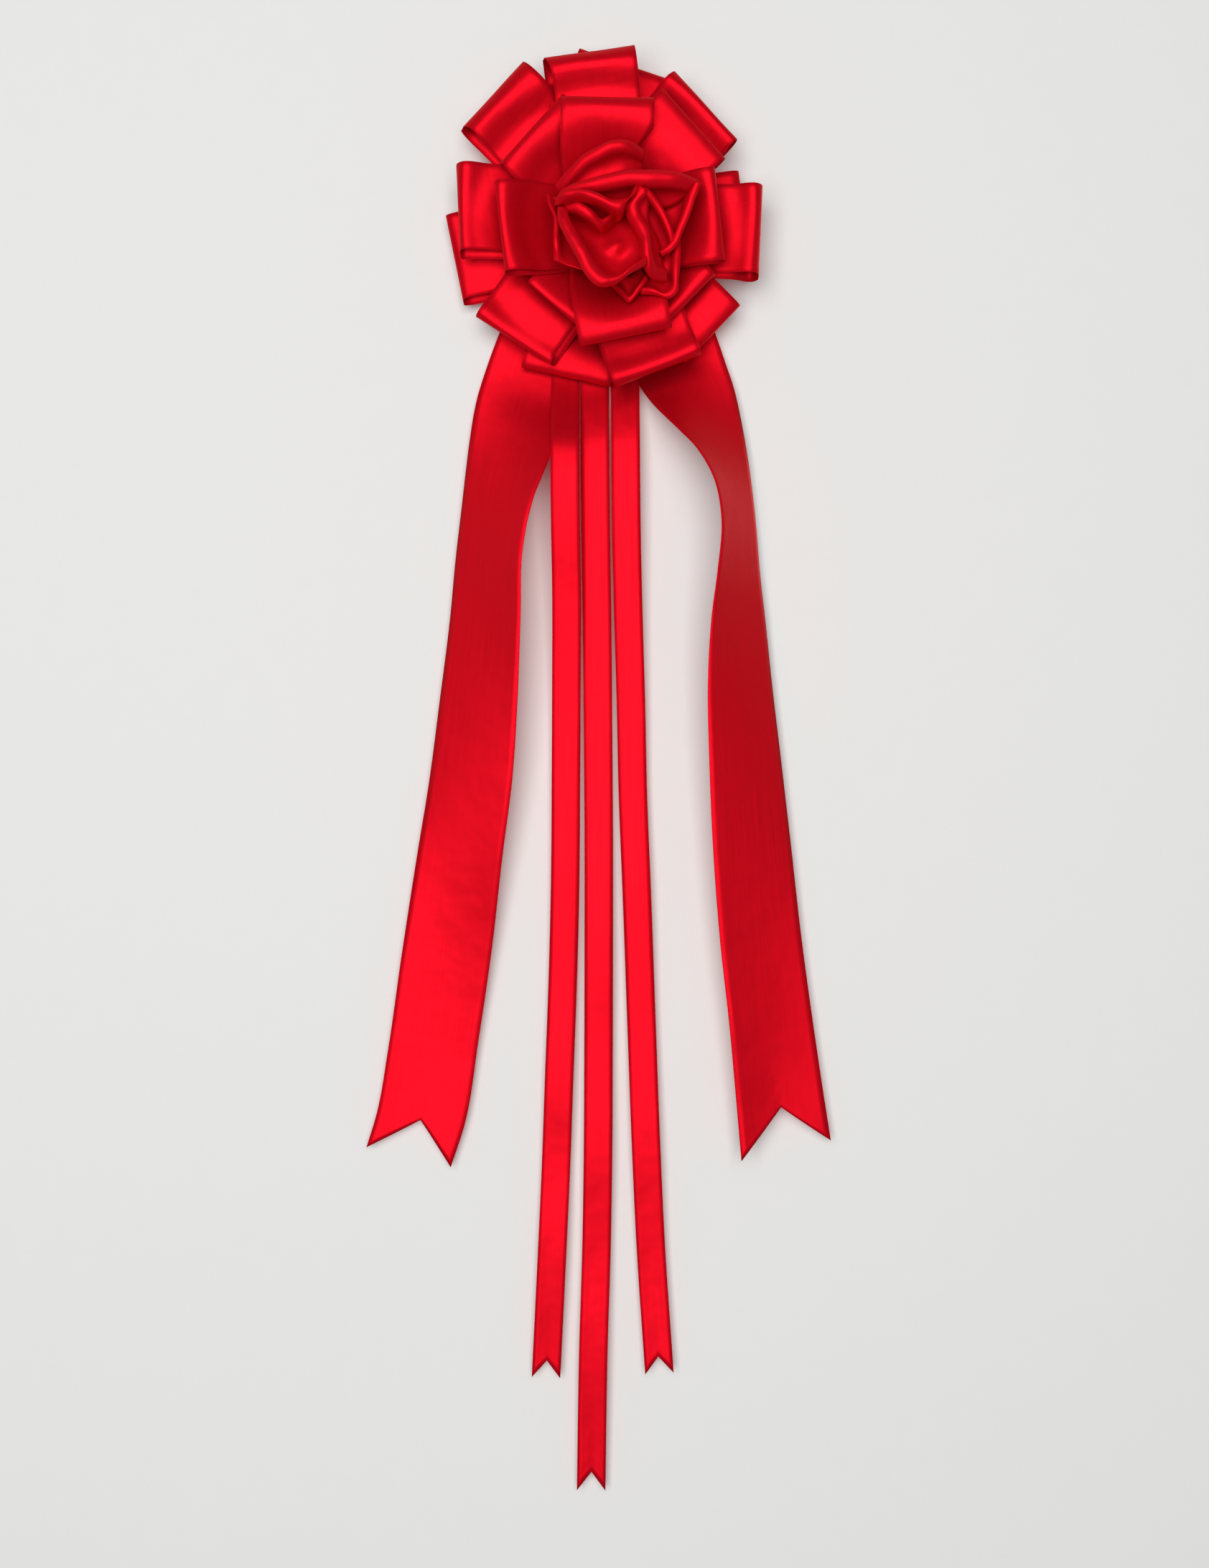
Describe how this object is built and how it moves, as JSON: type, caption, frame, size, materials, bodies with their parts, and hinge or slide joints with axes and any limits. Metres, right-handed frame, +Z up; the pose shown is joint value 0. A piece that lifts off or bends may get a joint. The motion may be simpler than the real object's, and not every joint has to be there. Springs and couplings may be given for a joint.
{
  "type": "ribbon bow",
  "caption": "Hanging satin gift bow: layered ribbon loops round a folded ribbon rose, with wide and narrow swallow-tailed ribbon tails.",
  "frame": {"origin": "centre of the felt's rear face, which lies against the wall", "axes": "+Y points out of the back into the wall, so the front faces -Y; +Z runs up the hanging bow; +X is to the right seen from the front"},
  "size_m": [0.2571, 0.07, 0.7977],
  "materials": {
    "satin": "red satin ribbon",
    "felt": "dark red felt",
    "card": "grey-brown card",
    "glue": "set hot-melt glue",
    "steel": "bright stamped plate"
  },
  "bodies": {
    "head": {"felt_back": "felt", "backing_card": "card", "hanging_tab": "satin", "card_glue": "glue", "tail_glue": "glue", "stack_glue": "glue", "rose_glue": "glue", "band_rear_upright": "satin", "band_rear_level": "satin", "band_outer_falling": "satin", "band_outer_rising": "satin", "band_middle_level": "satin", "band_middle_upright": "satin", "band_inner_falling": "satin", "band_inner_rising": "satin", "band_front_level": "satin", "band_front_upright": "satin", "rose_bud": "satin", "rose_inner_petal": "satin", "rose_front_petal": "satin", "rose_upper_petal": "satin", "rose_back_petal": "satin", "rose_left_petal": "satin", "rose_bottom_petal": "satin", "rose_lower_petal": "satin", "rose_right_petal": "satin", "wide_tail_left_root": "satin", "wide_tail_right_root": "satin", "narrow_tail_left_root": "satin", "narrow_tail_middle_root": "satin", "narrow_tail_right_root": "satin"},
    "hanger": {"hanger_plate": "steel"},
    "wide_tail_left": {"wide_tail_left": "satin"},
    "wide_tail_right": {"wide_tail_right": "satin"},
    "narrow_tail_left": {"narrow_tail_left": "satin"},
    "narrow_tail_middle": {"narrow_tail_middle": "satin"},
    "narrow_tail_right": {"narrow_tail_right": "satin"}
  },
  "joints": [
    {"name": "wide_left_lift", "type": "hinge", "parent": "head", "child": "wide_tail_left", "pos_m": [-0.055, -0.018, -0.13], "axis": [-0.8984, 0.4373, 0.0398], "range_deg": [0, 80]},
    {"name": "wide_right_lift", "type": "hinge", "parent": "head", "child": "wide_tail_right", "pos_m": [0.06325, -0.027, -0.12475], "axis": [-0.5933, -0.8044, -0.0302], "range_deg": [0, 80]},
    {"name": "narrow_left_lift", "type": "hinge", "parent": "head", "child": "narrow_tail_left", "pos_m": [-0.0227, -0.028, -0.13], "axis": [-1, 0, 0], "range_deg": [0, 90]},
    {"name": "narrow_middle_lift", "type": "hinge", "parent": "head", "child": "narrow_tail_middle", "pos_m": [-0.0064, -0.015, -0.13], "axis": [-1, 0, 0], "range_deg": [0, 90]},
    {"name": "narrow_right_lift", "type": "hinge", "parent": "head", "child": "narrow_tail_right", "pos_m": [0.0105, -0.013, -0.13], "axis": [-1, 0, 0], "range_deg": [0, 90]},
    {"name": "hanger_swing", "type": "hinge", "parent": "head", "child": "hanger", "pos_m": [0, -0.0022, 0.042], "axis": [-1, 0, 0], "range_deg": [0, 90]}
  ]
}
